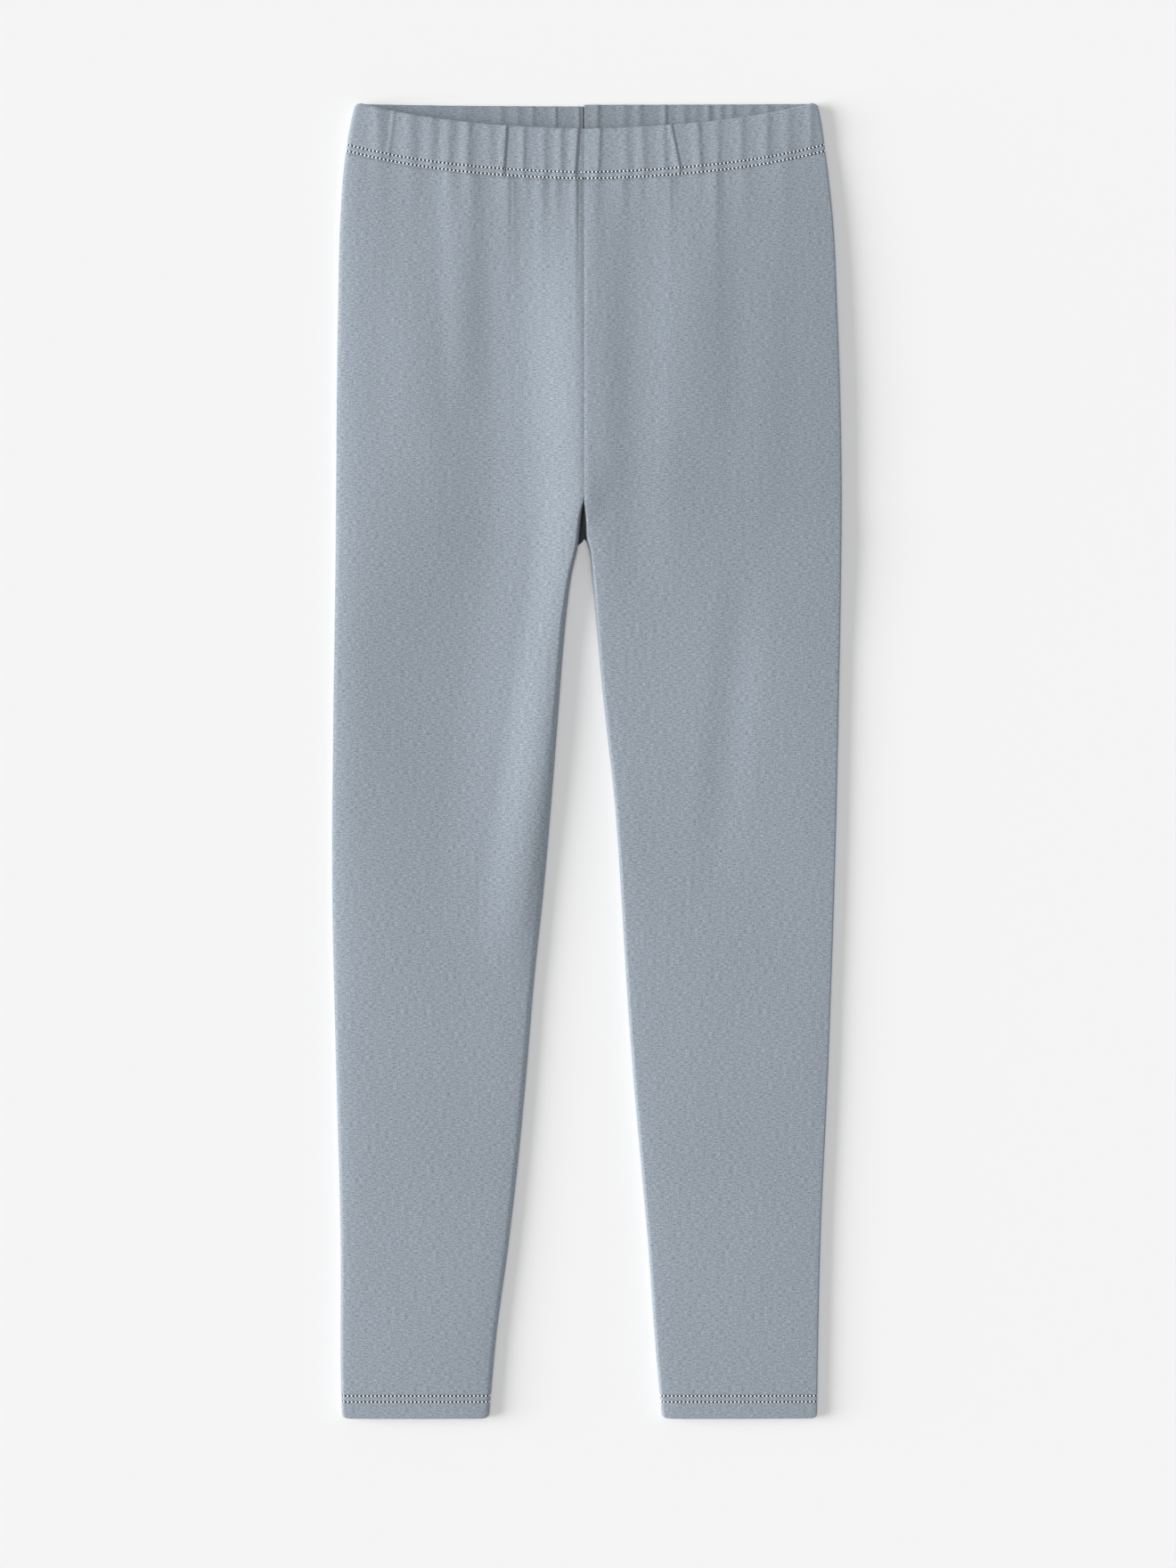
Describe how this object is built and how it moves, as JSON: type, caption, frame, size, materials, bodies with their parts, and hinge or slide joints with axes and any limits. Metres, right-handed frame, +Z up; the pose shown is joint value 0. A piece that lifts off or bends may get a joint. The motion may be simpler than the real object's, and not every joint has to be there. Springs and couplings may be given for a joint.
{
  "type": "leggings",
  "caption": "Child's pull-on leggings in plain stretch jersey, laid flat: slim legs with turned-up hems, centre seams, and a gathered elastic waist casing whose front dips.",
  "frame": {"origin": "on the surface that the leggings lie on, under the middle of their outline", "axes": "+Y from the hems towards the waist, +Z up out of the surface, +X to the wearer's left, which is the right side seen from above"},
  "size_m": [0.271, 0.7, 0.0177],
  "materials": {
    "jersey": "matt heathered blue-grey cotton jersey"
  },
  "bodies": {
    "root": {"right_leg_panel": "jersey", "left_leg_panel": "jersey", "right_leg_hem": "jersey", "left_leg_hem": "jersey", "right_waist_casing": "jersey", "left_waist_casing": "jersey"}
  },
  "joints": []
}
